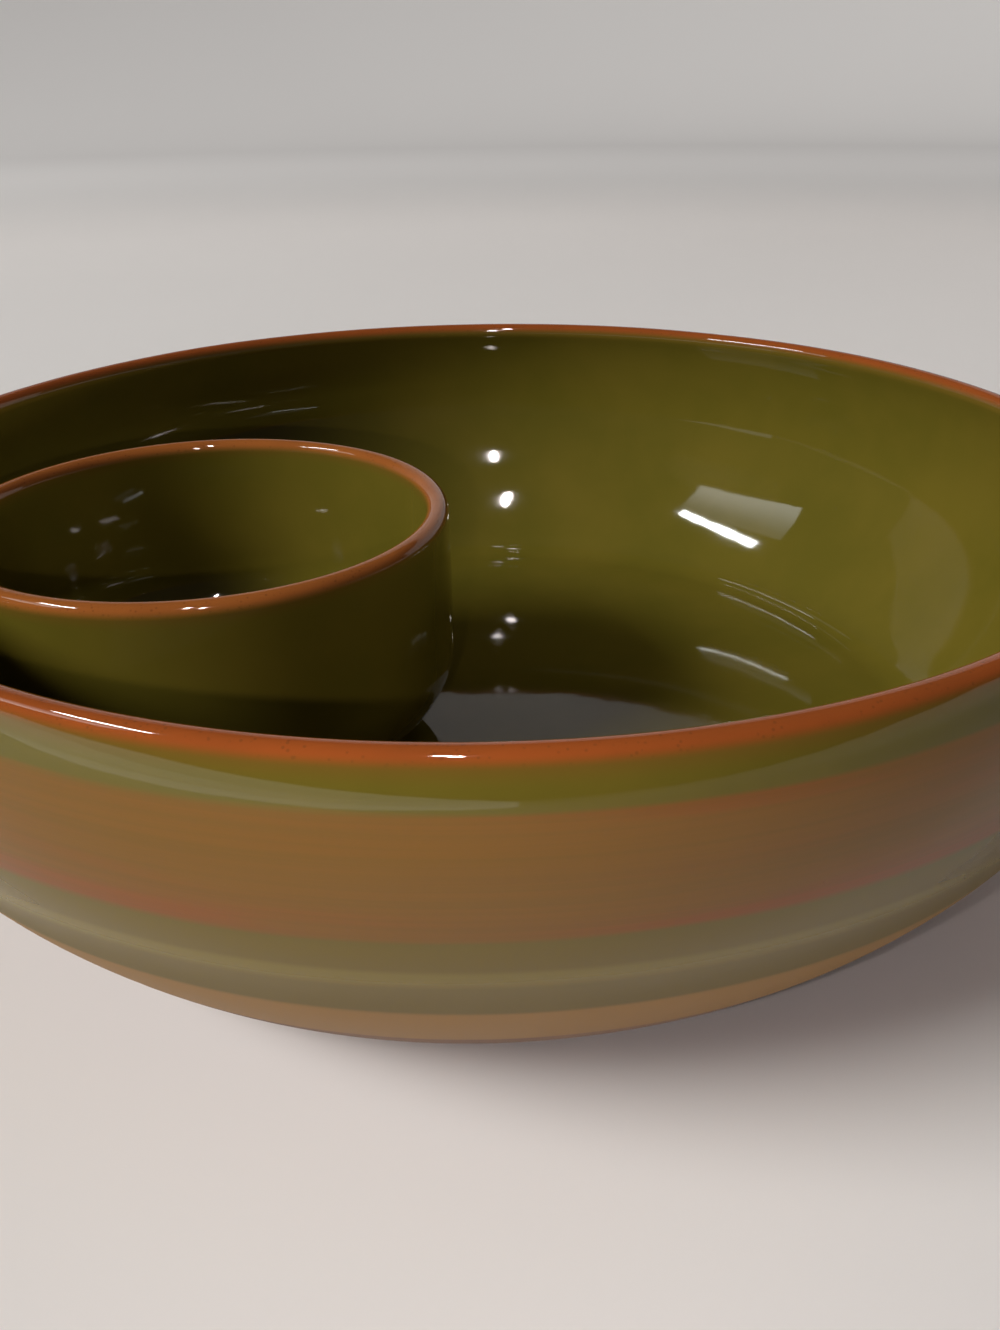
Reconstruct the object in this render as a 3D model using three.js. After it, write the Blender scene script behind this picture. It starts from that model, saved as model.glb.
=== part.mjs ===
// Chip and dip bowl: a wide earthenware bowl for chips, with a loose straight-sided bowl for the dip
// standing on its floor. Millimetres, +Z up. The table is the plane z = 0, the chip bowl turns about the
// Z axis, and the dip bowl stands on its -X side.
import * as THREE from 'three';

// Chip bowl
const bowlHeight = 94; // table to the crest of the lip
const bowlRimRadius = 155; // axis to the crest of the lip
const bowlWall = 6.6; // also the width of the rounded lip
const bowlLipLean = 24; // degrees that the wall leans outward just under the lip
const bowlBellySwell = 7; // how far the belly stands out past the crest of the lip
const bowlBellyDrop = 23; // crest of the lip down to the widest place
const bowlBellyReach = 29.5; // length of the upright pull of the curve below the belly
const bowlHeelReach = 24; // length of the pull of the curve above the foot
const bowlHeelAngle = 34; // degrees between the wall and the table at the foot
const bowlFootRadius = 115;
const bowlFootWidth = 9; // flat of the foot ring
const bowlFootHeight = 5; // depth of the turned recess inside the ring
const bowlBase = 10.5; // clay between the recess and the floor
const bowlFloorFillet = 20; // ball radius of the corner between floor and wall

// Dip bowl
const dipHeight = 65.3; // foot to the crest of the lip
const dipRimRadius = 61.2; // axis to the crest of the lip
const dipWall = 6.2; // also the width of the rounded lip
const dipHeelWidth = 28; // how far the rounded heel turns in
const dipHeelHeight = 24; // how high the rounded heel reaches
const dipFootInset = 2.5; // step from the end of the heel in to the foot ring
const dipFootWidth = 6; // flat of the foot ring
const dipFootHeight = 2; // depth of the turned recess inside the ring
const dipBase = 7; // clay between the recess and the floor
const dipFloorFillet = 20; // ball radius of the corner between floor and wall

// Where the dip bowl stands
const dipFloorMargin = 6.6; // flat floor left between the dip bowl's heel and the chip bowl's corner
const restGap = 0.3; // between the dip bowl's foot and the floor

// Fineness of the round surfaces
const bowlFacets = 72;
const dipFacets = 56;
const curveSteps = 7;
const lipSteps = 8; // an even count, so that the crest gets its full height
const bowlInsideSteps = 10; // stations down the curved inner wall
const dipInsideSteps = 1; // an upright wall needs none on its way

const radians = THREE.MathUtils.degToRad;

function onCircle(x, y, radius, degrees) {
  return new THREE.Vector2(x + radius * Math.cos(radians(degrees)), y + radius * Math.sin(radians(degrees)));
}

// A point under the outer wall, at a depth measured square to it. The wall runs from the lip downwards.
function underWall(outerWall, along, depth) {
  const tangent = outerWall.getTangent(along);
  const inward = new THREE.Vector2(tangent.y, -tangent.x);
  return outerWall.getPoint(along).addScaledVector(inward, depth);
}

// The inside of a pot: a wall of even thickness, and the corner that a ball leaves where it touches both
// that wall and the floor. Returns the points from the lip to the floor and the radius of the flat floor.
function insideOf(outerWall, wall, floorHeight, fillet, steps) {
  const ballHeight = floorHeight + fillet;
  const searchSteps = 2000;
  let step = 0;
  while (underWall(outerWall, step / searchSteps, wall + fillet).y > ballHeight) step += 1;
  const touch = step / searchSteps;
  const ball = underWall(outerWall, touch, wall + fillet);
  ball.y = ballHeight;

  const points = [];
  for (let i = 1; i < steps; i += 1) points.push(underWall(outerWall, (touch * i) / steps, wall));
  const tangent = outerWall.getTangent(touch);
  const touchAngle = Math.atan2(tangent.x, -tangent.y);
  const corner = new THREE.EllipseCurve(ball.x, ball.y, fillet, fillet, touchAngle, -Math.PI / 2, true);
  points.push(...corner.getPoints(curveSteps));
  return { points, flatRadius: ball.x };
}

// The lip is a half round from the outer wall over the crest to the inner wall.
function halfRoundLip(rimRadius, height, wall, leanDegrees) {
  const lean = radians(leanDegrees);
  const radius = wall / 2;
  const curve = new THREE.EllipseCurve(rimRadius, height - radius, radius, radius, lean, lean + Math.PI);
  return curve.getPoints(lipSteps).slice(1);
}

// The underside of a pot: a turned recess with a bevelled edge, out to the flat of the foot ring.
function turnedRecess(footRadius, footWidth, footHeight) {
  const ringInside = footRadius - footWidth;
  return [
    new THREE.Vector2(0, footHeight),
    new THREE.Vector2(ringInside - footHeight, footHeight),
    new THREE.Vector2(ringInside, 0),
  ];
}

// A pot turned about Z, from the middle of its underside, up the outer wall, over the lip and down the
// inside to the middle of its floor. The outer wall runs from the lip to the outer edge of the foot.
function turnedPot({ recess, outerWall, lip, inside, floorHeight, facets }) {
  const profile = [
    ...recess,
    ...outerWall.getPoints(curveSteps).reverse(),
    ...lip,
    ...inside.points,
    new THREE.Vector2(0, floorHeight),
  ];
  return new THREE.LatheGeometry(profile, facets).rotateX(Math.PI / 2);
}

const glaze = { color: '#61532a', roughness: 0.12, metalness: 0 };

// Chip bowl: the wall leans out from the lip to the belly, then sweeps in to the foot.
const bowlFloorHeight = bowlFootHeight + bowlBase;
const bowlLipEdge = onCircle(bowlRimRadius, bowlHeight - bowlWall / 2, bowlWall / 2, bowlLipLean);
const bowlBelly = new THREE.Vector2(bowlRimRadius + bowlBellySwell, bowlHeight - bowlBellyDrop);
const bowlShoulderPull = (bowlLipEdge.y - bowlBelly.y) / 3;
const bowlOuterWall = new THREE.CurvePath();
bowlOuterWall.add(new THREE.CubicBezierCurve(
  bowlLipEdge,
  new THREE.Vector2(
    bowlLipEdge.x + bowlShoulderPull * Math.tan(radians(bowlLipLean)),
    bowlLipEdge.y - bowlShoulderPull,
  ),
  new THREE.Vector2(bowlBelly.x, bowlBelly.y + bowlShoulderPull),
  bowlBelly,
));
bowlOuterWall.add(new THREE.CubicBezierCurve(
  bowlBelly,
  new THREE.Vector2(bowlBelly.x, bowlBelly.y - bowlBellyReach),
  onCircle(bowlFootRadius, 0, bowlHeelReach, bowlHeelAngle),
  new THREE.Vector2(bowlFootRadius, 0),
));
const bowlInside = insideOf(bowlOuterWall, bowlWall, bowlFloorHeight, bowlFloorFillet, bowlInsideSteps);

const chipBowl = new THREE.Mesh(
  turnedPot({
    recess: turnedRecess(bowlFootRadius, bowlFootWidth, bowlFootHeight),
    outerWall: bowlOuterWall,
    lip: halfRoundLip(bowlRimRadius, bowlHeight, bowlWall, bowlLipLean),
    inside: bowlInside,
    floorHeight: bowlFloorHeight,
    facets: bowlFacets,
  }),
  new THREE.MeshStandardMaterial(glaze),
);
chipBowl.name = 'chip_bowl';

// Dip bowl: an upright wall, a rounded heel that clears the chip bowl's corner, and a small foot ring.
const dipOuterRadius = dipRimRadius + dipWall / 2;
const dipHeelEnd = dipOuterRadius - dipHeelWidth;
const dipHeelTop = dipFootHeight + dipHeelHeight;
const dipFootRadius = dipHeelEnd - dipFootInset;
const dipFloorHeight = dipFootHeight + dipBase;
const dipFootCorner = new THREE.Vector2(dipFootRadius, dipFootHeight);
const dipOuterWall = new THREE.CurvePath();
dipOuterWall.add(new THREE.LineCurve(
  new THREE.Vector2(dipOuterRadius, dipHeight - dipWall / 2),
  new THREE.Vector2(dipOuterRadius, dipHeelTop),
));
dipOuterWall.add(new THREE.EllipseCurve(
  dipHeelEnd, dipHeelTop, dipHeelWidth, dipHeelHeight, 0, -Math.PI / 2, true,
));
dipOuterWall.add(new THREE.LineCurve(new THREE.Vector2(dipHeelEnd, dipFootHeight), dipFootCorner));
dipOuterWall.add(new THREE.LineCurve(dipFootCorner, new THREE.Vector2(dipFootRadius, 0)));

const dipBowl = new THREE.Mesh(
  turnedPot({
    recess: turnedRecess(dipFootRadius, dipFootWidth, dipFootHeight),
    outerWall: dipOuterWall,
    lip: halfRoundLip(dipRimRadius, dipHeight, dipWall, 0),
    inside: insideOf(dipOuterWall, dipWall, dipFloorHeight, dipFloorFillet, dipInsideSteps),
    floorHeight: dipFloorHeight,
    facets: dipFacets,
  }),
  new THREE.MeshStandardMaterial(glaze),
);
dipBowl.name = 'dip_bowl';

// The dip bowl stands on the flat of the floor, close to the corner on the -X side.
const dipOffset = bowlInside.flatRadius - dipHeelEnd - dipFloorMargin;
dipBowl.position.set(-dipOffset, 0, bowlFloorHeight + restGap);

const chipAndDipBowl = new THREE.Group();
chipAndDipBowl.add(chipBowl, dipBowl);

export default chipAndDipBowl;
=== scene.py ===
# Chip and dip bowl of glazed earthenware. A wide banded bowl holds a smaller straight-sided bowl that stands
# loose on its floor. Both pots are turned from their sections. Sizes are in millimetres. In a section, x is
# the distance from the pot's axis and y the height above its foot.
import math

import bpy
from mathutils import Euler, Matrix, Vector


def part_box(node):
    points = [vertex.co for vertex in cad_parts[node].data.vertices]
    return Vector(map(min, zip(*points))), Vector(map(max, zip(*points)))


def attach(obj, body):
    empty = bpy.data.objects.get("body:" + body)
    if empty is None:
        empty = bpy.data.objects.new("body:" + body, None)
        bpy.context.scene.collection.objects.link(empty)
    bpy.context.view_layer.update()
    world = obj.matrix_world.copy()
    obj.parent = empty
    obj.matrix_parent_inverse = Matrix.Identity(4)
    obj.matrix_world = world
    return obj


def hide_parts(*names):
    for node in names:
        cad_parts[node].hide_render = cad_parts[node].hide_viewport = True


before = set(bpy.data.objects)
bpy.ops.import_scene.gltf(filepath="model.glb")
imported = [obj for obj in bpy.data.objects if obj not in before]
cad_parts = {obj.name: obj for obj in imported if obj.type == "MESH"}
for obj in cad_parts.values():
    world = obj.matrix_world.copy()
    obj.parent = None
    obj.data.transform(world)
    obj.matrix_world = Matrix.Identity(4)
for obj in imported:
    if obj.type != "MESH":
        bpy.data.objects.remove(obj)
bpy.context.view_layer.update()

MM = 0.001

# Chip bowl
BOWL_HEIGHT = 94  # table to the crest of the lip
BOWL_RIM_RADIUS = 155  # axis to the crest of the lip
BOWL_WALL = 6.6  # also the width of the rounded lip
BOWL_LIP_LEAN = 24  # degrees that the wall leans outward just under the lip
BOWL_BELLY_SWELL = 7  # how far the belly stands out past the crest of the lip
BOWL_BELLY_DROP = 23  # crest of the lip down to the widest place
BOWL_BELLY_REACH = 29.5  # length of the upright pull of the curve below the belly
BOWL_HEEL_REACH = 24  # length of the pull of the curve above the foot
BOWL_HEEL_ANGLE = 34  # degrees between the wall and the table at the foot
BOWL_FOOT_RADIUS = 115
BOWL_FOOT_WIDTH = 9  # flat of the foot ring
BOWL_FOOT_HEIGHT = 5  # depth of the turned recess inside the ring
BOWL_BASE = 10.5  # clay between the recess and the floor
BOWL_FLOOR_FILLET = 20  # ball radius of the corner between floor and wall

# Dip bowl
DIP_HEIGHT = 65.3  # foot to the crest of the lip
DIP_RIM_RADIUS = 61.2  # axis to the crest of the lip
DIP_WALL = 6.2  # also the width of the rounded lip
DIP_HEEL_WIDTH = 28  # how far the rounded heel turns in
DIP_HEEL_HEIGHT = 24  # how high the rounded heel reaches
DIP_FOOT_INSET = 2.5  # step from the end of the heel in to the foot ring
DIP_FOOT_WIDTH = 6  # flat of the foot ring
DIP_FOOT_HEIGHT = 2  # depth of the turned recess inside the ring
DIP_BASE = 7  # clay between the recess and the floor
DIP_FLOOR_FILLET = 20  # ball radius of the corner between floor and wall

# Fineness of the turned surfaces
BOWL_FACETS = 224
DIP_FACETS = 160
CURVE_STEPS = 240
WALL_STRIDE = 8  # every so many steps of a wall's curve become a ring of the pot
CORNER_STEPS = 14
LIP_STEPS = 20
FLOOR_RINGS = 5
MERGE_DISTANCE = 0.001

# Traces of the hand and the wheel
FOOT_EDGE = 0.9  # rounding of the foot's edges
FOOT_EDGE_STEPS = 3
FOOT_EDGE_ANGLE = 28  # degrees past which an edge of the foot is sharp
UNEVENNESS = 0.3  # depth of the slow swells in the walls
SWELL_LENGTH = 70
MARGIN = 1  # kept clear above a foot and below a floor

# Heights of the chip bowl's bands above the table
LIP_EDGE = 92.1
BROWN_TOP = 85.1
BROWN_BOTTOM = 62.6
LINE_TOP = 55.0
LINE_BOTTOM = 51.0
TAN_TOP = 41.0
GLAZE_END = 24.5
CORE_BELOW_TOP = 3.5  # the even middle of the brown band keeps this far from its top
CORE_ABOVE_BOTTOM = 4.5
THIN_BELOW_LIP = 1.5  # the glaze thins out this far below the lip's edge

# Heights of the dip bowl's edges above its own foot
DIP_LIP_EDGE = 63.2
DIP_GLAZE_END = 3.2

# How the painted edges look: softness, waver, and feather of the brush
WIPED_OUTSIDE = (1.0, 0.8, 0.0)
WIPED_LIP = (1.1, 0.8, 0.0)
THINNING_OUT = (2.2, 1.2, 0.0)
BRUSHED_TOP = (0.6, 0.9, 1.2)
BRUSHED_BOTTOM = (0.7, 0.9, 1.8)
CORE_TOP = (2.6, 2.0, 4.0)
CORE_BOTTOM = (3.0, 2.0, 4.0)
LINED = (0.9, 0.6, 0.6)
TAN_EDGE = (1.0, 0.8, 0.8)
DIPPED_OUTSIDE = (0.6, 1.4, 0.0)
DIPPED_FOOT = (0.5, 1.0, 0.0)
OLIVE_CHANGE = (3.0, 0.0, 0.0)

# Colours, in linear light
OLIVE = (0.140, 0.104, 0.013, 1)
OLIVE_THIN = (0.150, 0.076, 0.012, 1)
OLIVE_POOLED = (0.112, 0.089, 0.010, 1)
OLIVE_LOW = (0.150, 0.099, 0.010, 1)
BROWN = (0.194, 0.085, 0.009, 1)
BROWN_RED = (0.230, 0.068, 0.010, 1)
BROWN_DARK = (0.148, 0.066, 0.006, 1)
LINE_GREEN = (0.205, 0.146, 0.020, 1)
TAN = (0.305, 0.152, 0.026, 1)
TERRACOTTA = (0.300, 0.068, 0.013, 1)
TERRACOTTA_DARK = (0.165, 0.045, 0.011, 1)
DIP_TERRACOTTA = (0.330, 0.098, 0.020, 1)
CLAY = (0.240, 0.135, 0.088, 1)
CLAY_DARK = (0.180, 0.095, 0.058, 1)
PAPER = (0.800, 0.750, 0.732, 1)
PAPER_SHADE = (0.743, 0.696, 0.680, 1)
# Painted shade: the sweep's paper darkens to this on the right, where the floor lies in the bowl's shadow, as
# the glaze mirrors it and as bounce light
PAPER_PAINTED_SHADE = (0.630, 0.580, 0.560, 1)

# Shares of the finishes' details
LIP_THINNESS = 0.9
TERRACOTTA_SPECKS = 0.55
TERRACOTTA_BLUSH = 0.22
CLAY_SPECKS = 0.5
CLAY_BLUSH = 0.4
LINE_COVER = 0.85
EDGE_RED_LEAST = 0.12
PATCH_RED = 0.3
STREAK_DARK = 0.28
BROWN_COVER_FULL = 0.98
BROWN_COVER_STREAKED = 0.86
PAPER_CLOUDS = 0.5

# Gloss and relief
GLAZE_IOR = 1.54
THICK_GLAZE_ROUGHNESS = 0.035
THIN_GLAZE_ROUGHNESS = 0.06
CLAY_ROUGHNESS = 0.68
LOW_BAND_ROUGHNESS = 0.5
PAPER_ROUGHNESS = 0.85
PAPER_SPECULAR = 0.15
RIPPLE_RELIEF = 0.5
PINHOLE_RELIEF = 0.25
CLAY_RELIEF = 0.9
STREAK_RELIEF = 0.05
RELIEF_STRENGTH = 0.35
RELIEF_DEPTH = 0.25

# The view: how far its heading is turned from +Y, its place, its tilt, and its lens
VIEW_TURN = -9.08
VIEW_PLACE = (-43.8, -301.4, 181.9)
VIEW_PITCH = -26.72
VIEW_ROLL = -0.78
VIEW_LENS = 32.48
VIEW_SENSOR = 36
VIEW_NEAREST = 10

# The paper sweep that lights the bowl: radius, curve, and height of its wall in degrees seen from the bowl
SWEEP_RADIUS = 1900
SWEEP_CURVE = 700
SWEEP_FRONT_RISE = 3
SWEEP_SIDE_RISE = 12
SWEEP_DROP = 0.2  # how far it lies below the studio's floor
BACKDROP_EDGE = 0.4  # where the tall back begins, from 0 at the sides to 1 straight behind
BACKDROP_EDGE_RISE = 27
BACKDROP_RISE = 38
# Painted shade on the sweep's paper, standing in for the bowl's shadow on the floor at the right
SHADE_START = 100  # the sweep darkens from here to the right
SHADE_FULL = 500

# The studio that the viewer sees: its size, and its faint painted glow near the bowl and far from it; near
# the bowl the painted glow lightens the bowl's shadow on the floor, far away it keeps the wall pale
STUDIO_RADIUS = 3500
STUDIO_CURVE = 700
STUDIO_TOP = 3000
GLOW_START = 1200
GLOW_FULL = 2400
NEAR_PAINTED_GLOW = (0.032, 0.031, 0.031, 1)
FAR_PAINTED_GLOW = (0.205, 0.197, 0.193, 1)
STAGE_FACETS = 96
STAGE_CURVE_STEPS = 14

# Light
DAYLIGHT = (0.97, 1.0, 0.98)
LAMPLIGHT = (1.0, 0.90, 0.87)
CEILING = (1.0, 0.94, 0.95)
ROOM_LIGHT = (1.0, 0.95, 0.90, 1)
ROOM_STRENGTH = 0.03
FULL_SPREAD = 180
PANE_FADE = (0.4, 1.8)  # brightness of the window pane's lower and upper edge


def cubic(start, start_pull, end_pull, end, steps):
    """Points along a cubic curve, both ends included."""
    points = []
    for i in range(steps + 1):
        t = i / steps
        s = 1 - t
        points.append(
            start * s**3 + start_pull * (3 * s * s * t) + end_pull * (3 * s * t * t) + end * t**3
        )
    return points


def arc(centre, width, height, start, end, steps):
    """Points along a part of an ellipse, between two angles in degrees, both ends included."""
    points = []
    for i in range(steps + 1):
        angle = math.radians(start + (end - start) * i / steps)
        points.append(centre + Vector((width * math.cos(angle), height * math.sin(angle))))
    return points


def straight(start, end, steps):
    """Points along a straight line, without its end."""
    return [start.lerp(end, i / steps) for i in range(steps)]


def under_wall(wall, depth):
    """The wall's points moved square to it, into the clay. The wall runs from the lip to the foot."""
    moved = []
    last = len(wall) - 1
    for i, point in enumerate(wall):
        along = (wall[min(i + 1, last)] - wall[max(i - 1, 0)]).normalized()
        moved.append(point + Vector((along.y, -along.x)) * depth)
    return moved


def inside_of(wall, thickness, floor_height, fillet):
    """The inner wall from the lip down, the round corner that a ball leaves, and the flat floor."""
    inner = under_wall(wall, thickness)
    ball = under_wall(wall, thickness + fillet)
    touch = next(i for i, centre in enumerate(ball) if centre.y <= floor_height + fillet)
    centre = Vector((ball[touch].x, floor_height + fillet))
    spoke = inner[touch] - centre
    start = math.degrees(math.atan2(spoke.y, spoke.x))
    points = inner[WALL_STRIDE:touch:WALL_STRIDE]
    points += arc(centre, fillet, fillet, start, -90, CORNER_STEPS)
    for ring in range(1, FLOOR_RINGS + 1):
        points.append(Vector((centre.x * (1 - ring / FLOOR_RINGS), floor_height)))
    return points


def underside(foot_radius, foot_width, foot_height):
    """The turned recess, from the axis out to the flat of the foot ring."""
    ring_inside = foot_radius - foot_width
    recess_edge = ring_inside - foot_height
    return [Vector((0, foot_height)), Vector((recess_edge, foot_height)), Vector((ring_inside, 0))]


def turn_pot(name, section, axis, lift, facets):
    """Draws the section point by point and spins it round the pot's axis."""
    bpy.ops.object.select_all(action="DESELECT")
    bpy.ops.mesh.primitive_plane_add(size=MM)
    pot = bpy.context.object
    pot.name = name
    pot.data.name = name
    bpy.ops.object.mode_set(mode="EDIT")
    bpy.ops.mesh.merge(type="CENTER")
    start = section[0]
    bpy.ops.transform.translate(value=((axis + start.x) * MM, 0, (lift + start.y) * MM))
    for here, there in zip(section, section[1:]):
        step = (there - here) * MM
        bpy.ops.mesh.extrude_region_move(TRANSFORM_OT_translate={"value": (step.x, 0, step.y)})
    bpy.ops.mesh.select_all(action="SELECT")
    bpy.ops.mesh.spin(steps=facets, angle=math.tau, center=(axis * MM, 0, 0), axis=(0, 0, 1))
    bpy.ops.mesh.select_all(action="SELECT")
    bpy.ops.mesh.remove_doubles(threshold=MERGE_DISTANCE * MM)
    bpy.ops.mesh.normals_make_consistent(inside=False)
    bpy.ops.object.mode_set(mode="OBJECT")
    return pot


def soften_foot(pot):
    """Rounds the sharp edges of the foot ring and its recess."""
    bevel = pot.modifiers.new("foot edges", "BEVEL")
    bevel.width = FOOT_EDGE * MM
    bevel.segments = FOOT_EDGE_STEPS
    bevel.limit_method = "ANGLE"
    bevel.angle_limit = math.radians(FOOT_EDGE_ANGLE)
    bpy.ops.object.modifier_apply(modifier=bevel.name)


def throw_by_hand(pot, foot_top):
    """Gives the walls the slight unevenness of a pot thrown by hand, always into the clay."""
    above_foot = pot.vertex_groups.new(name="above the foot")
    free = [v.index for v in pot.data.vertices if v.co.z > (foot_top + MARGIN) * MM]
    above_foot.add(free, 1, "REPLACE")
    swell = bpy.data.textures.new(pot.name + " unevenness", "CLOUDS")
    swell.noise_scale = SWELL_LENGTH * MM
    swell.noise_depth = 1
    displace = pot.modifiers.new("thrown unevenness", "DISPLACE")
    displace.texture = swell
    displace.texture_coords = "LOCAL"
    displace.vertex_group = above_foot.name
    displace.mid_level = 1
    displace.strength = UNEVENNESS * MM
    bpy.ops.object.modifier_apply(modifier=displace.name)
    pot.vertex_groups.clear()


def glaze_inside(pot, floor_top, floor_radius):
    """Gives the second finish to the floor and to the wall that looks towards the axis."""
    for face in pot.data.polygons:
        outward = Vector((face.center.x, face.center.y, 0))
        on_floor = outward.length < floor_radius * MM
        looks_in = face.normal.dot(outward) <= 0
        above_floor = face.center.z > (floor_top - MARGIN) * MM
        face.material_index = 1 if above_floor and (on_floor or looks_in) else 0


# Node helpers

def new_node(tree, kind, **settings):
    node = tree.nodes.new(kind)
    for name, value in settings.items():
        setattr(node, name, value)
    return node


def plug(tree, socket, source):
    """Links a socket to another node's output, or sets its value."""
    if isinstance(source, bpy.types.NodeSocket):
        tree.links.new(source, socket)
    else:
        socket.default_value = source


def feed(tree, node, **sources):
    """Links or sets a node's inputs by name. An underscore in a keyword stands for a space."""
    for name, source in sources.items():
        plug(tree, node.inputs[name.replace("_", " ")], source)
    return node


def calculate(tree, operation, first, second):
    node = new_node(tree, "ShaderNodeMath", operation=operation)
    for socket, source in zip(node.inputs, (first, second)):
        plug(tree, socket, source)
    return node.outputs["Value"]


def scaled(tree, value, factor):
    return calculate(tree, "MULTIPLY", value, factor)


def rest_of(tree, share):
    return calculate(tree, "SUBTRACT", 1.0, share)


def measure(tree, operation, position, direction=(0, 0, 0)):
    """A length or a distance along a direction, worked out from the position."""
    node = new_node(tree, "ShaderNodeVectorMath", operation=operation)
    for socket, source in zip(node.inputs, (position, direction)):
        plug(tree, socket, source)
    return node.outputs["Value"]


def blend_colour(tree, share, under, over):
    node = new_node(tree, "ShaderNodeMix", data_type="RGBA")
    colour_inputs = [socket for socket in node.inputs if socket.type == "RGBA"]
    for socket, source in zip([node.inputs[0]] + colour_inputs, (share, under, over)):
        plug(tree, socket, source)
    return next(socket for socket in node.outputs if socket.type == "RGBA")


def ramp(tree, value, low=0.0, high=1.0, bottom=0.0, top=1.0):
    """Spreads value from low..high to bottom..top with soft ends."""
    node = new_node(tree, "ShaderNodeMapRange", interpolation_type="SMOOTHSTEP")
    for socket, source in zip(node.inputs, (value, low, high, bottom, top)):
        plug(tree, socket, source)
    return node.outputs["Result"]


def noise(tree, position, scale=1.0, detail=2.0, roughness=0.5):
    node = new_node(tree, "ShaderNodeTexNoise")
    feed(tree, node, Vector=position, Scale=scale, Detail=detail, Roughness=roughness)
    return node.outputs["Fac"]


def cell_distance(tree, position, scale):
    node = new_node(tree, "ShaderNodeTexVoronoi", feature="F1")
    return feed(tree, node, Vector=position, Scale=scale).outputs["Distance"]


def stretched(tree, position, across, upward):
    """The position with its sideways and upward spacing scaled apart."""
    node = new_node(tree, "ShaderNodeVectorMath", operation="MULTIPLY")
    tree.links.new(position, node.inputs[0])
    node.inputs[1].default_value = (across, across, upward)
    return node.outputs["Vector"]


def height_of(tree, position):
    node = feed(tree, new_node(tree, "ShaderNodeSeparateXYZ"), Vector=position)
    return node.outputs["Z"]


def new_group(name, inputs, outputs):
    """An empty node group with a Position input, named value inputs and named value outputs."""
    tree = bpy.data.node_groups.new(name, "ShaderNodeTree")
    tree.interface.new_socket("Position", in_out="INPUT", socket_type="NodeSocketVector")
    for label, value in inputs.items():
        socket = tree.interface.new_socket(label, in_out="INPUT", socket_type="NodeSocketFloat")
        socket.default_value = value
    for label in outputs:
        tree.interface.new_socket(label, in_out="OUTPUT", socket_type="NodeSocketFloat")
    entry = new_node(tree, "NodeGroupInput")
    exit_node = new_node(tree, "NodeGroupOutput")
    return tree, entry.outputs, exit_node.inputs


def use_group(tree, group, position, **values):
    node = new_node(tree, "ShaderNodeGroup", node_tree=group)
    feed(tree, node, Position=position, **values)
    return node.outputs


# Effects that several finishes share

def make_band_edge():
    """How far a place lies above a painted edge: the edge wavers and its brush ends are feathered."""
    settings = {"Level": 0.05, "Softness": 0.001, "Waver": 0.001, "Feather": 0.0}
    tree, given, result = new_group("Band edge", settings, ["Above"])
    position = given["Position"]
    slow = noise(tree, position, scale=14.0)
    waver = scaled(tree, calculate(tree, "SUBTRACT", slow, 0.5), given["Waver"])
    hairs = noise(tree, stretched(tree, position, across=16.0, upward=620.0), detail=3.0, roughness=0.6)
    feather = scaled(tree, calculate(tree, "SUBTRACT", hairs, 0.5), given["Feather"])
    wavering = calculate(tree, "ADD", height_of(tree, position), waver)
    lifted = calculate(tree, "ADD", wavering, feather)
    low = calculate(tree, "SUBTRACT", given["Level"], given["Softness"])
    high = calculate(tree, "ADD", given["Level"], given["Softness"])
    tree.links.new(ramp(tree, lifted, low, high), result["Above"])
    return tree


def make_brush_marks():
    """Level streaks that a brush leaves on a turning pot, and broad patches where it was loaded again."""
    tree, given, result = new_group("Brush marks", {}, ["Streaks", "Patches"])
    position = given["Position"]
    fine = noise(tree, stretched(tree, position, across=9.0, upward=900.0), detail=3.0, roughness=0.65)
    broad = noise(tree, stretched(tree, position, across=11.0, upward=150.0))
    tree.links.new(ramp(tree, fine, low=0.30, high=0.70), result["Streaks"])
    tree.links.new(ramp(tree, broad, low=0.42, high=0.68), result["Patches"])
    return tree


def make_glaze_skin():
    """Cloudy thickness of the glaze, its faint ripple, and rare pinholes."""
    tree, given, result = new_group("Glaze skin", {}, ["Cloud", "Ripple", "Pinholes"])
    position = given["Position"]
    cloud = noise(tree, position, scale=22.0, detail=4.0, roughness=0.55)
    ripple = noise(tree, position, scale=75.0, roughness=0.4)
    pits = ramp(tree, cell_distance(tree, position, 150.0), low=0.03, high=0.07, bottom=1.0, top=0.0)
    rare = ramp(tree, noise(tree, position, scale=160.0, detail=0.0), low=0.66, high=0.70)
    tree.links.new(ramp(tree, cloud, low=0.30, high=0.72), result["Cloud"])
    tree.links.new(ripple, result["Ripple"])
    tree.links.new(scaled(tree, pits, rare), result["Pinholes"])
    return tree


def make_clay_grain():
    """Dark specks, the sandy grain of fired clay, and its uneven blush."""
    tree, given, result = new_group("Clay grain", {}, ["Specks", "Grain", "Blush"])
    position = given["Position"]
    dots = ramp(tree, cell_distance(tree, position, 950.0), low=0.16, high=0.34, bottom=1.0, top=0.0)
    chosen = ramp(tree, noise(tree, position, scale=420.0, detail=1.0), low=0.46, high=0.60)
    blush = noise(tree, position, scale=60.0, detail=3.0)
    tree.links.new(scaled(tree, dots, chosen), result["Specks"])
    tree.links.new(noise(tree, position, scale=1500.0, detail=3.0, roughness=0.6), result["Grain"])
    tree.links.new(ramp(tree, blush, low=0.3, high=0.7), result["Blush"])
    return tree


BAND_EDGE = make_band_edge()
BRUSH_MARKS = make_brush_marks()
GLAZE_SKIN = make_glaze_skin()
CLAY_GRAIN = make_clay_grain()


# Finishes

def new_finish(name):
    finish = bpy.data.materials.new(name)
    finish.use_nodes = True
    tree = finish.node_tree
    shader = tree.nodes["Principled BSDF"]
    position = new_node(tree, "ShaderNodeTexCoord").outputs["Object"]
    return finish, tree, shader, position


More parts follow.
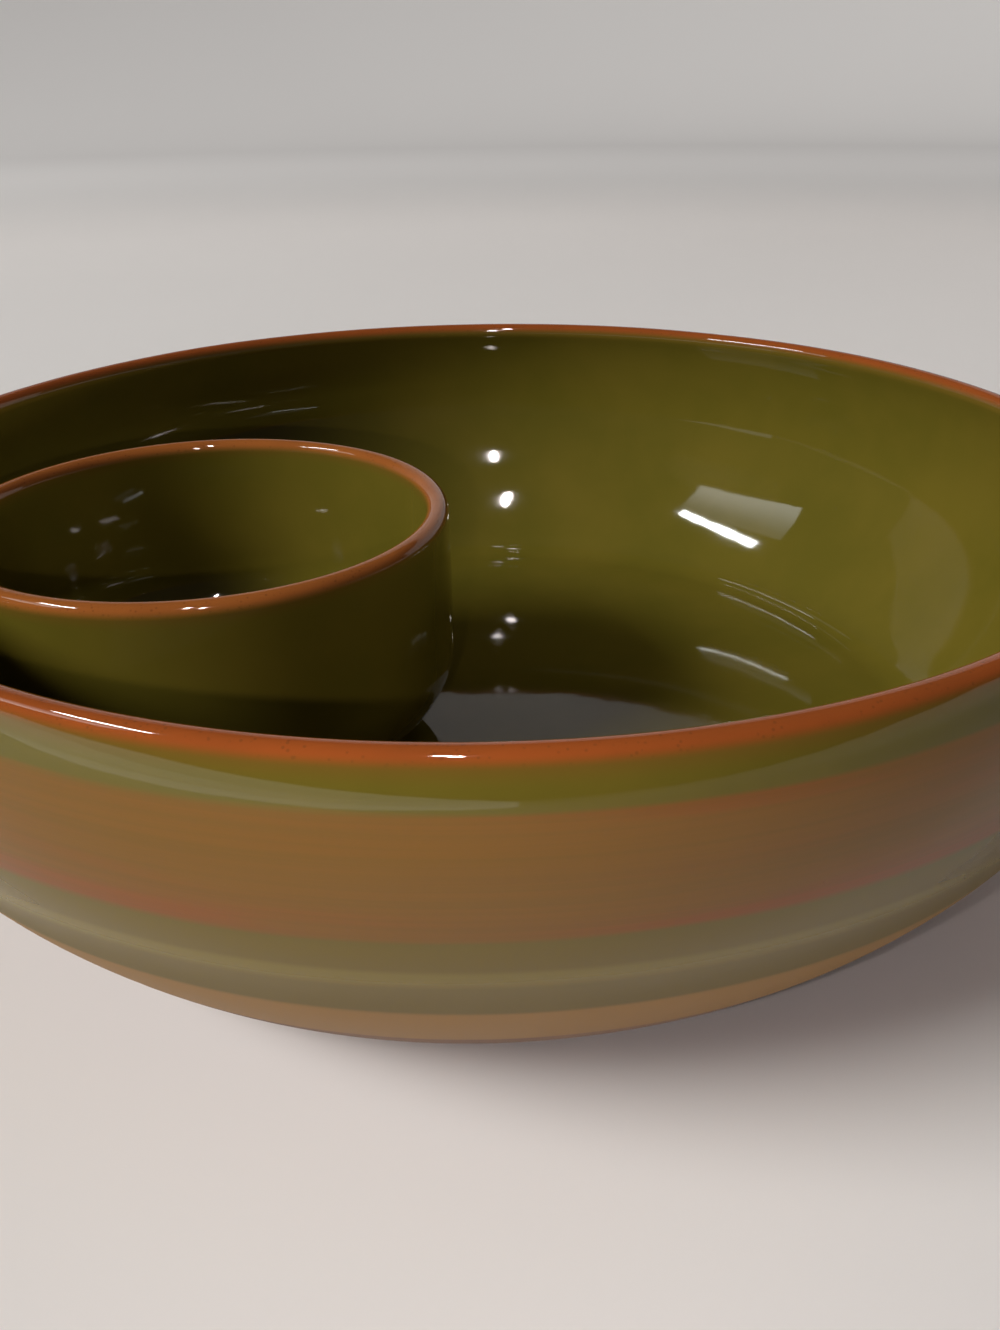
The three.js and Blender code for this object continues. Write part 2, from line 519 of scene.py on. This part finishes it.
def above(tree, position, level, look):
    """The share of a place that lies above a painted edge at a level."""
    softness, waver, feather = look
    result = use_group(
        tree, BAND_EDGE, position,
        Level=level * MM, Softness=softness * MM, Waver=waver * MM, Feather=feather * MM,
    )
    return result["Above"]


def between(tree, over_bottom, over_top):
    return calculate(tree, "SUBTRACT", over_bottom, over_top)


def olive_glaze(tree, position, skin, lip_edge):
    """Olive glaze, greener where it lies thick and browner where it thins out below the lip."""
    clouded = blend_colour(tree, skin["Cloud"], OLIVE_POOLED, OLIVE)
    near_lip = above(tree, position, lip_edge - THIN_BELOW_LIP, THINNING_OUT)
    return blend_colour(tree, scaled(tree, near_lip, LIP_THINNESS), clouded, OLIVE_THIN)


def terracotta(tree, grain, clear_colour):
    specks = scaled(tree, grain["Specks"], TERRACOTTA_SPECKS)
    blush = scaled(tree, grain["Blush"], TERRACOTTA_BLUSH)
    speckled = blend_colour(tree, specks, clear_colour, TERRACOTTA_DARK)
    return blend_colour(tree, blush, speckled, TERRACOTTA_DARK)


def bare_clay(tree, grain):
    blushed = blend_colour(tree, scaled(tree, grain["Blush"], CLAY_BLUSH), CLAY, CLAY_DARK)
    return blend_colour(tree, scaled(tree, grain["Specks"], CLAY_SPECKS), blushed, CLAY_DARK)


def brushed_brown(tree, marks, core):
    """Brown slip, redder near the band's edges and where the brush was loaded, with darker streaks."""
    patchy = ramp(tree, marks["Patches"], bottom=EDGE_RED_LEAST)
    edge_red = scaled(tree, rest_of(tree, core), patchy)
    redness = calculate(tree, "MAXIMUM", edge_red, scaled(tree, marks["Patches"], PATCH_RED))
    brown = blend_colour(tree, redness, BROWN, BROWN_RED)
    return blend_colour(tree, scaled(tree, marks["Streaks"], STREAK_DARK), brown, BROWN_DARK)


def finish_surface(tree, shader, colour, skin, grain, bare, relief, thinning):
    """Sets the gloss, which is lost where the glaze thins out, and the fine relief of glaze and clay."""
    shader.inputs["IOR"].default_value = GLAZE_IOR
    glossy = ramp(tree, skin["Cloud"], bottom=THICK_GLAZE_ROUGHNESS, top=THIN_GLAZE_ROUGHNESS)
    matt = calculate(tree, "MAXIMUM", ramp(tree, bare, top=CLAY_ROUGHNESS), thinning)
    roughness = calculate(tree, "ADD", glossy, matt)
    ripple = scaled(tree, skin["Ripple"], RIPPLE_RELIEF)
    pitted = calculate(tree, "SUBTRACT", ripple, scaled(tree, skin["Pinholes"], PINHOLE_RELIEF))
    grained = scaled(tree, scaled(tree, grain["Grain"], bare), CLAY_RELIEF)
    height = calculate(tree, "ADD", calculate(tree, "ADD", pitted, grained), relief)
    bump = new_node(tree, "ShaderNodeBump")
    feed(tree, bump, Strength=RELIEF_STRENGTH, Distance=RELIEF_DEPTH * MM, Height=height)
    feed(tree, shader, Base_Color=colour, Roughness=roughness, Normal=bump.outputs["Normal"])


def make_banded_outside():
    finish, tree, shader, position = new_finish("banded_outside")
    skin = use_group(tree, GLAZE_SKIN, position)
    grain = use_group(tree, CLAY_GRAIN, position)
    marks = use_group(tree, BRUSH_MARKS, position)

    over_lip = above(tree, position, LIP_EDGE, WIPED_OUTSIDE)
    in_brown = between(
        tree,
        above(tree, position, BROWN_BOTTOM, BRUSHED_BOTTOM),
        above(tree, position, BROWN_TOP, BRUSHED_TOP),
    )
    brown_core = between(
        tree,
        above(tree, position, BROWN_BOTTOM + CORE_ABOVE_BOTTOM, CORE_BOTTOM),
        above(tree, position, BROWN_TOP - CORE_BELOW_TOP, CORE_TOP),
    )
    in_line = between(
        tree,
        above(tree, position, LINE_BOTTOM, LINED),
        above(tree, position, LINE_TOP, LINED),
    )
    over_tan = above(tree, position, TAN_TOP, TAN_EDGE)
    over_clay = above(tree, position, GLAZE_END, DIPPED_OUTSIDE)
    over_low_olive = above(tree, position, BROWN_BOTTOM, OLIVE_CHANGE)

    olive = olive_glaze(tree, position, skin, LIP_EDGE)
    lowered = blend_colour(tree, over_low_olive, OLIVE_LOW, olive)
    lined = blend_colour(tree, scaled(tree, in_line, LINE_COVER), lowered, LINE_GREEN)
    streaky = ramp(tree, marks["Streaks"], bottom=BROWN_COVER_FULL, top=BROWN_COVER_STREAKED)
    brown = brushed_brown(tree, marks, brown_core)
    banded = blend_colour(tree, scaled(tree, in_brown, streaky), lined, brown)
    tanned = blend_colour(tree, over_tan, TAN, banded)
    footed = blend_colour(tree, over_clay, bare_clay(tree, grain), tanned)
    colour = blend_colour(tree, over_lip, footed, terracotta(tree, grain, TERRACOTTA))

    relief = scaled(tree, scaled(tree, marks["Streaks"], in_brown), STREAK_RELIEF)
    height = height_of(tree, position)
    thinning = ramp(tree, height, TAN_TOP * MM, BROWN_BOTTOM * MM, bottom=LOW_BAND_ROUGHNESS, top=0.0)
    finish_surface(tree, shader, colour, skin, grain, rest_of(tree, over_clay), relief, thinning)
    return finish


def make_olive_pot(name, lip_edge, lip_colour, glaze_end):
    """Olive glaze all over, with a terracotta lip, and bare clay below the end of the glaze."""
    finish, tree, shader, position = new_finish(name)
    skin = use_group(tree, GLAZE_SKIN, position)
    grain = use_group(tree, CLAY_GRAIN, position)
    over_lip = above(tree, position, lip_edge, WIPED_LIP)
    over_clay = above(tree, position, glaze_end, DIPPED_FOOT)
    olive = olive_glaze(tree, position, skin, lip_edge)
    footed = blend_colour(tree, over_clay, bare_clay(tree, grain), olive)
    colour = blend_colour(tree, over_lip, footed, terracotta(tree, grain, lip_colour))
    finish_surface(tree, shader, colour, skin, grain, rest_of(tree, over_clay), relief=0.0, thinning=0.0)
    return finish


# Chip bowl

bowl_floor = BOWL_FOOT_HEIGHT + BOWL_BASE
bowl_lip = Vector((BOWL_RIM_RADIUS, BOWL_HEIGHT - BOWL_WALL / 2))
bowl_lip_arc = arc(bowl_lip, BOWL_WALL / 2, BOWL_WALL / 2, BOWL_LIP_LEAN, BOWL_LIP_LEAN + 180, LIP_STEPS)
bowl_lip_edge = bowl_lip_arc[0]
bowl_belly = Vector((BOWL_RIM_RADIUS + BOWL_BELLY_SWELL, BOWL_HEIGHT - BOWL_BELLY_DROP))
bowl_foot = Vector((BOWL_FOOT_RADIUS, 0))
shoulder_pull = (bowl_lip_edge.y - bowl_belly.y) / 3
lean_pull = shoulder_pull * math.tan(math.radians(BOWL_LIP_LEAN))
heel = math.radians(BOWL_HEEL_ANGLE)
bowl_wall = cubic(
    bowl_lip_edge,
    bowl_lip_edge + Vector((lean_pull, -shoulder_pull)),
    bowl_belly + Vector((0, shoulder_pull)),
    bowl_belly,
    CURVE_STEPS // 2,
) + cubic(
    bowl_belly,
    bowl_belly + Vector((0, -BOWL_BELLY_REACH)),
    bowl_foot + Vector((math.cos(heel), math.sin(heel))) * BOWL_HEEL_REACH,
    bowl_foot,
    CURVE_STEPS,
)[1:]
bowl_section = (
    underside(BOWL_FOOT_RADIUS, BOWL_FOOT_WIDTH, BOWL_FOOT_HEIGHT)
    + bowl_wall[::-WALL_STRIDE]
    + bowl_lip_arc[1:]
    + inside_of(bowl_wall, BOWL_WALL, bowl_floor, BOWL_FLOOR_FILLET)
)
chip_bowl = turn_pot("chip_bowl_turned", bowl_section, 0, 0, BOWL_FACETS)
soften_foot(chip_bowl)
throw_by_hand(chip_bowl, BOWL_FOOT_HEIGHT)
bpy.ops.object.shade_smooth()
chip_bowl.data.materials.append(make_banded_outside())
chip_bowl.data.materials.append(make_olive_pot("olive_inside", LIP_EDGE, TERRACOTTA, 0))
glaze_inside(chip_bowl, bowl_floor, BOWL_FOOT_RADIUS)
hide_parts("chip_bowl")
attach(chip_bowl, "chip_bowl")

# Dip bowl, standing where its node stands

dip_low, dip_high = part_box("dip_bowl")
dip_axis = (dip_low.x + dip_high.x) / 2 / MM
dip_lift = dip_low.z / MM
dip_outer = DIP_RIM_RADIUS + DIP_WALL / 2
dip_heel_end = dip_outer - DIP_HEEL_WIDTH
dip_heel_top = DIP_FOOT_HEIGHT + DIP_HEEL_HEIGHT
dip_foot_radius = dip_heel_end - DIP_FOOT_INSET
dip_lip = Vector((DIP_RIM_RADIUS, DIP_HEIGHT - DIP_WALL / 2))
dip_lip_arc = arc(dip_lip, DIP_WALL / 2, DIP_WALL / 2, 0, 180, LIP_STEPS)
dip_heel_centre = Vector((dip_heel_end, dip_heel_top))
dip_heel = arc(dip_heel_centre, DIP_HEEL_WIDTH, DIP_HEEL_HEIGHT, 0, -90, CURVE_STEPS)
dip_wall = straight(Vector((dip_outer, dip_lip.y)), Vector((dip_outer, dip_heel_top)), CURVE_STEPS) + dip_heel
dip_section = (
    underside(dip_foot_radius, DIP_FOOT_WIDTH, DIP_FOOT_HEIGHT)
    + [Vector((dip_foot_radius, 0)), Vector((dip_foot_radius, DIP_FOOT_HEIGHT))]
    + dip_wall[::-WALL_STRIDE]
    + dip_lip_arc
    + inside_of(dip_wall, DIP_WALL, DIP_FOOT_HEIGHT + DIP_BASE, DIP_FLOOR_FILLET)
)
dip_bowl = turn_pot("dip_bowl_turned", dip_section, dip_axis, dip_lift, DIP_FACETS)
soften_foot(dip_bowl)
throw_by_hand(dip_bowl, dip_lift + DIP_FOOT_HEIGHT)
bpy.ops.object.shade_smooth()
dip_bowl.data.materials.append(
    make_olive_pot("olive_dip_bowl", dip_lift + DIP_LIP_EDGE, DIP_TERRACOTTA, dip_lift + DIP_GLAZE_END)
)
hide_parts("dip_bowl")
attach(dip_bowl, "dip_bowl")


# Stage

def in_view(right, away, up):
    """A place as the viewer sees it: right of the bowl's axis, away from the viewer, and up."""
    return Matrix.Rotation(math.radians(VIEW_TURN), 3, "Z") @ Vector((right, away, up)) * MM


def new_paper(name):
    """White paper, faintly clouded, that is clear when seen from behind, and its clouded colour."""
    finish, tree, shader, position = new_finish(name)
    shader.inputs["Roughness"].default_value = PAPER_ROUGHNESS
    shader.inputs["Specular IOR Level"].default_value = PAPER_SPECULAR
    clouds = scaled(tree, noise(tree, position, scale=3.0, detail=3.0), PAPER_CLOUDS)
    clouded = blend_colour(tree, clouds, PAPER, PAPER_SHADE)
    seen_from_behind = new_node(tree, "ShaderNodeNewGeometry").outputs["Backfacing"]
    clear = new_node(tree, "ShaderNodeBsdfTransparent").outputs["BSDF"]
    either = new_node(tree, "ShaderNodeMixShader")
    for socket, source in zip(either.inputs, (seen_from_behind, shader.outputs["BSDF"], clear)):
        tree.links.new(source, socket)
    tree.links.new(either.outputs["Shader"], tree.nodes["Material Output"].inputs["Surface"])
    return finish, tree, shader, position, clouded


def make_sweep_paper():
    """Paper darkened to the right with painted shade, which stands in for the floor lying in the bowl's
    shadow there.
    """
    finish, tree, shader, position, clouded = new_paper("sweep_paper_painted_shade")
    rightward = measure(tree, "DOT_PRODUCT", position, in_view(1, 0, 0) / MM)
    shade = ramp(tree, rightward, SHADE_START * MM, SHADE_FULL * MM)
    feed(tree, shader, Base_Color=blend_colour(tree, shade, clouded, PAPER_PAINTED_SHADE))
    return finish


def make_studio_paper():
    """Paper with a painted glow: faint near the bowl, where it lightens the bowl's shadow, and more so far
    from the bowl, so that it stays pale from every side.
    """
    finish, tree, shader, position, clouded = new_paper("studio_paper_painted_glow")
    distance = measure(tree, "LENGTH", position)
    far_away = ramp(tree, distance, GLOW_START * MM, GLOW_FULL * MM)
    # Painted light: the glow lightens the bowl's shadow on the floor near the bowl and keeps the far wall
    # pale
    glow = blend_colour(tree, far_away, NEAR_PAINTED_GLOW, FAR_PAINTED_GLOW)
    feed(tree, shader, Base_Color=clouded, Emission_Color=glow)
    shader.inputs["Emission Strength"].default_value = 1.0
    return finish


def make_round_wall(name, radius, curve, top, drop, paper):
    """A round floor whose edge curves up into a wall."""
    bpy.ops.object.select_all(action="DESELECT")
    floor_radius = radius - curve
    bpy.ops.mesh.primitive_circle_add(vertices=STAGE_FACETS, radius=floor_radius * MM, fill_type="NGON")
    stage = bpy.context.object
    stage.name = name
    bpy.ops.object.mode_set(mode="EDIT")
    bpy.ops.mesh.select_all(action="SELECT")
    bpy.ops.transform.translate(value=(0, 0, -drop * MM))
    bpy.ops.mesh.region_to_loop()
    steps = arc(Vector((floor_radius, curve)), curve, curve, -90, 0, STAGE_CURVE_STEPS)
    steps.append(Vector((radius, top)))
    for here, there in zip(steps, steps[1:]):
        rise = (there.y - here.y) * MM
        grow = there.x / here.x
        bpy.ops.mesh.extrude_edges_move(TRANSFORM_OT_translate={"value": (0, 0, rise)})
        bpy.ops.transform.resize(value=(grow, grow, 1), center_override=(0, 0, there.y * MM))
    bpy.ops.mesh.select_all(action="SELECT")
    bpy.ops.mesh.normals_make_consistent(inside=True)
    bpy.ops.object.mode_set(mode="OBJECT")
    bpy.ops.object.shade_smooth()
    stage.data.materials.append(paper)
    return stage


def wall_rise(away):
    """The sweep's height in degrees, where away runs from -1 in front of the bowl to 1 behind it."""
    if away < BACKDROP_EDGE:
        return SWEEP_FRONT_RISE + (SWEEP_SIDE_RISE - SWEEP_FRONT_RISE) * min(1, 1 + away)
    share = (away - BACKDROP_EDGE) / (1 - BACKDROP_EDGE)
    return BACKDROP_EDGE_RISE + (BACKDROP_RISE - BACKDROP_EDGE_RISE) * share


def make_sweep():
    """The paper that lights the bowl and shows in its glaze: low in front and at the sides, tall behind."""
    full_rise = math.tan(math.radians(BACKDROP_RISE))
    top = SWEEP_RADIUS * full_rise
    sweep = make_round_wall("paper_sweep", SWEEP_RADIUS, SWEEP_CURVE, top, SWEEP_DROP, make_sweep_paper())
    straight_away = in_view(0, 1, 0).normalized()
    for corner in sweep.data.vertices:
        away = straight_away.dot(corner.co.xy.to_3d().normalized())
        corner.co.z *= math.tan(math.radians(wall_rise(away))) / full_rise
    sweep.visible_camera = False
    sweep.visible_shadow = False


def make_studio():
    """The wider floor and wall that the viewer sees. It gives no light and isn't mirrored."""
    studio = make_round_wall("studio", STUDIO_RADIUS, STUDIO_CURVE, STUDIO_TOP, 0, make_studio_paper())
    studio.visible_diffuse = False
    studio.visible_glossy = False
    studio.visible_shadow = False


make_sweep()
make_studio()

# Lamps. Those that light the bowl don't show in its glaze, and those that show in its glaze give no light.

OVER_BOWL = in_view(0, 0, 50)
BACKDROP = in_view(-600, 1350, 0)


def lamp(name, place, target, size, power, colour, shape="RECTANGLE", spread=FULL_SPREAD):
    """A lamp at a place, turned to a target. Size is its width and height."""
    light = bpy.data.lights.new(name, "AREA")
    light.shape = shape
    light.size = size[0] * MM
    light.size_y = size[1] * MM
    light.energy = power
    light.color = colour
    light.spread = math.radians(spread)
    holder = bpy.data.objects.new(name, light)
    bpy.context.scene.collection.objects.link(holder)
    holder.visible_camera = False
    holder.visible_glossy = False
    holder.location = place
    holder.rotation_euler = (place - target).to_track_quat("Z", "Y").to_euler()
    return holder


def glint(name, place, size, power, colour, shape="ELLIPSE"):
    """A lamp that only shows in the glaze."""
    holder = lamp(name, place, OVER_BOWL, size, power, colour, shape)
    holder.visible_glossy = True
    holder.visible_diffuse = False
    return holder


def mirrored_bar(name, start, end, width, power):
    """A long daylight lamp between two places that only shows in the glaze."""
    middle = (start + end) / 2
    bar = glint(name, middle, ((end - start).length / MM, width), power, DAYLIGHT, shape="RECTANGLE")
    facing = (middle - OVER_BOWL).normalized()
    along = (end - start).normalized()
    upward = facing.cross(along).normalized()
    turn = Matrix((upward.cross(facing), upward, facing)).transposed()
    bar.rotation_euler = turn.to_euler()
    return bar


def fade_across(bar, first, last):
    """Lets the lamp's brightness change over its width."""
    bar.data.use_nodes = True
    tree = bar.data.node_tree
    place = new_node(tree, "ShaderNodeNewGeometry").outputs["Parametric"]
    across = feed(tree, new_node(tree, "ShaderNodeSeparateXYZ"), Vector=place).outputs["Y"]
    strength = ramp(tree, across, bottom=first, top=last)
    tree.links.new(strength, tree.nodes["Emission"].inputs["Strength"])


lamp(
    "left_window", in_view(-5367, -2168, 4256), OVER_BOWL,
    size=(3900, 1650), power=110.0, colour=DAYLIGHT, spread=80,
)
lamp(
    "front_lamp", in_view(-16, -286, 157), OVER_BOWL,
    size=(4, 4), power=0.095, colour=LAMPLIGHT, shape="DISK",
)
lamp(
    "right_fill", in_view(700, -800, 1500), OVER_BOWL,
    size=(900, 700), power=0.3, colour=CEILING,
)
lamp(
    "ceiling", in_view(250, -50, 1800), OVER_BOWL,
    size=(1200, 1200), power=0.8, colour=CEILING,
)
lamp(
    "low_fill", in_view(1900, 1500, 200), OVER_BOWL,
    size=(700, 200), power=0.6, colour=CEILING, spread=30,
)
lamp(
    "backdrop_lamp", in_view(-800, 1050, 1000), BACKDROP,
    size=(900, 300), power=0.1, colour=DAYLIGHT, spread=120,
)
glint("front_glint", in_view(-20, -290, 404), size=(12, 50), power=0.28, colour=LAMPLIGHT)
glint("high_glint", in_view(-84, -494, 1050), size=(30, 105), power=1.4, colour=LAMPLIGHT)
mirrored_bar("window_bar", in_view(-687, -226, 1023), in_view(-779, 126, 976), width=38, power=3.0)
mirrored_bar("left_card", in_view(160, -1840, -80), in_view(-1759, -572, 190), width=360, power=2.0)
pane = mirrored_bar("window_pane", in_view(-743, -290, 942), in_view(-904, 120, 828), width=220, power=0.6)
fade_across(pane, *PANE_FADE)

world = bpy.data.worlds.new("studio")
world.use_nodes = True
bpy.context.scene.world = world
room = world.node_tree.nodes["Background"]
room.inputs["Color"].default_value = ROOM_LIGHT
room.inputs["Strength"].default_value = ROOM_STRENGTH

# View

camera = bpy.data.cameras.new("view")
camera.lens = VIEW_LENS
camera.sensor_width = VIEW_SENSOR
camera.clip_start = VIEW_NEAREST * MM
viewer = bpy.data.objects.new("view", camera)
bpy.context.scene.collection.objects.link(viewer)
tilt = Euler((math.radians(90 + VIEW_PITCH), 0, math.radians(VIEW_TURN))).to_matrix()
roll = Matrix.Rotation(math.radians(VIEW_ROLL), 3, "Z")
viewer.matrix_world = Matrix.Translation(Vector(VIEW_PLACE) * MM) @ (tilt @ roll).to_4x4()
bpy.context.scene.camera = viewer
bpy.context.scene.view_settings.view_transform = "Standard"
